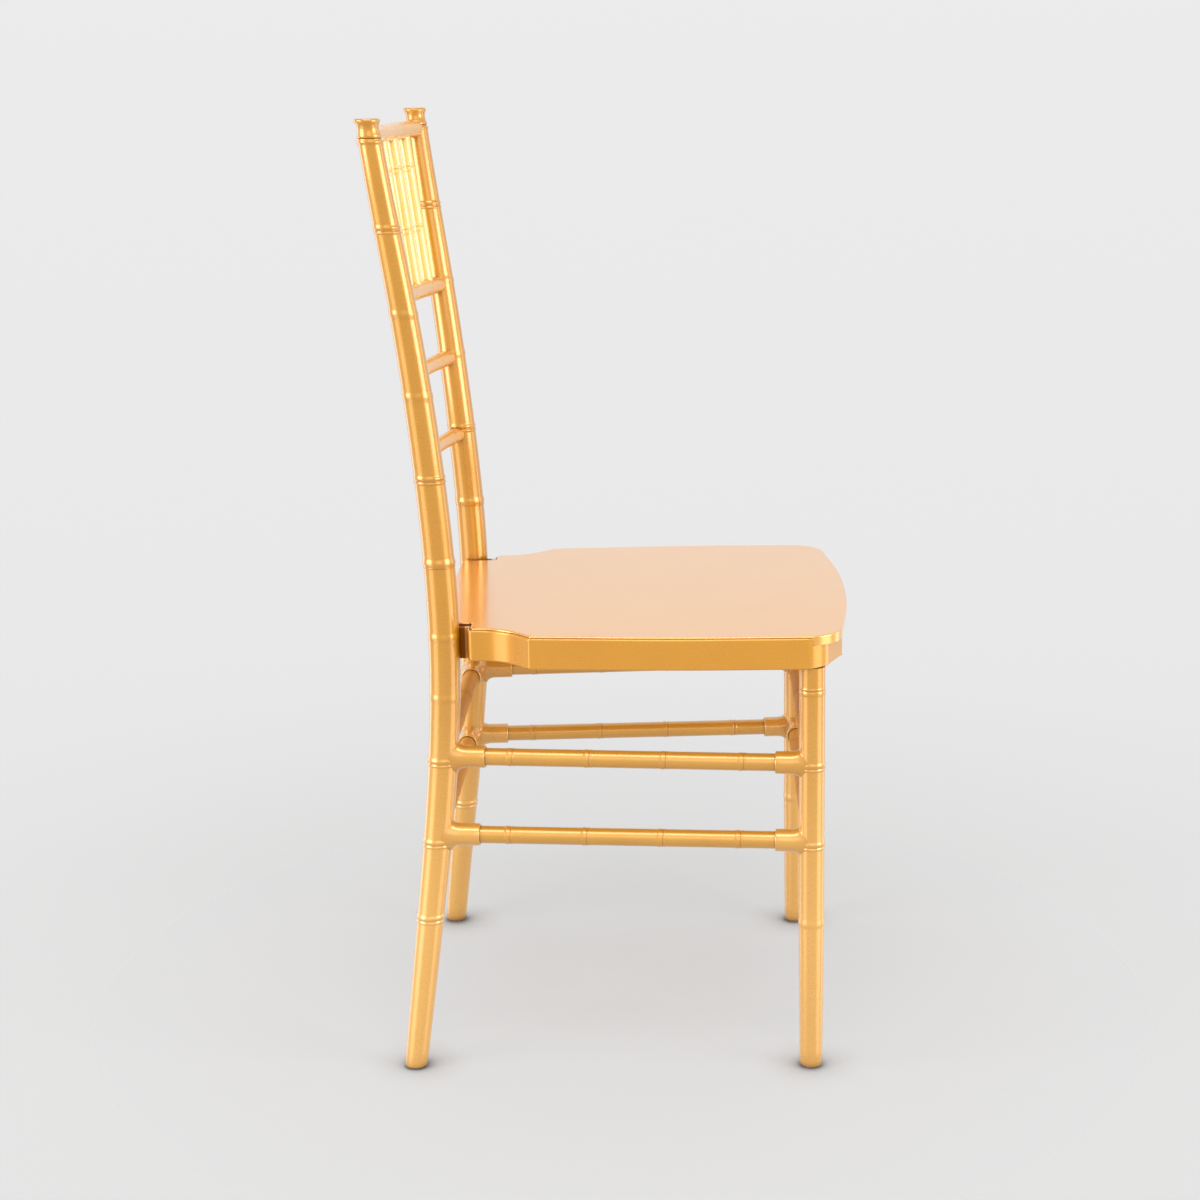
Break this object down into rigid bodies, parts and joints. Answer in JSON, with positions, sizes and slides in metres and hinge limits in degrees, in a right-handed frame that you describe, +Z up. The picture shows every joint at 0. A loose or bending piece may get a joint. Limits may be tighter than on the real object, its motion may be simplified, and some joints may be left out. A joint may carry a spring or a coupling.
{
  "type": "chiavari chair",
  "caption": "Dining chair with slender bamboo-ringed turned posts and legs, a bowed rail and spindle back, a flat wooden seat and rungs let into collars on the legs.",
  "frame": {"origin": "on the floor under the middle of the chair's box", "axes": "+X to the sitter's left, +Y to the rear, +Z up; the sitter faces -Y"},
  "size_m": [0.4088, 0.4757, 0.92],
  "materials": {
    "gold_lacquer": "metallic gold lacquer, glossy",
    "seat_lacquer": "pale gold lacquer, satin",
    "bare_wood": "bare sawn beech",
    "nylon": "matte",
    "steel": "zinc plated"
  },
  "bodies": {
    "root": {"back_rail_lower": "gold_lacquer", "back_rail_upper": "gold_lacquer", "corner_block_left": "bare_wood", "corner_block_right": "bare_wood", "corner_block_screws": "steel", "crest_rail": "gold_lacquer", "front_leg_left": "gold_lacquer", "front_leg_right": "gold_lacquer", "front_rung_lower": "gold_lacquer", "front_rung_upper": "gold_lacquer", "glide_front_left": "nylon", "glide_front_right": "nylon", "glide_nails": "steel", "glide_rear_left": "nylon", "glide_rear_right": "nylon", "leg_screws": "steel", "rear_post_left": "gold_lacquer", "rear_post_right": "gold_lacquer", "rear_rung_lower": "gold_lacquer", "rear_rung_upper": "gold_lacquer", "seat_board": "seat_lacquer", "seat_rail_front": "gold_lacquer", "seat_rail_left": "gold_lacquer", "seat_rail_rear": "gold_lacquer", "seat_rail_right": "gold_lacquer", "seat_screws": "steel", "side_rung_lower_left": "gold_lacquer", "side_rung_lower_right": "gold_lacquer", "side_rung_upper_left": "gold_lacquer", "side_rung_upper_right": "gold_lacquer", "spindle_1": "gold_lacquer", "spindle_2": "gold_lacquer", "spindle_3": "gold_lacquer", "spindle_4": "gold_lacquer", "spindle_5": "gold_lacquer", "spindle_6": "gold_lacquer", "spindle_7": "gold_lacquer", "spindle_rail": "gold_lacquer"}
  },
  "joints": []
}
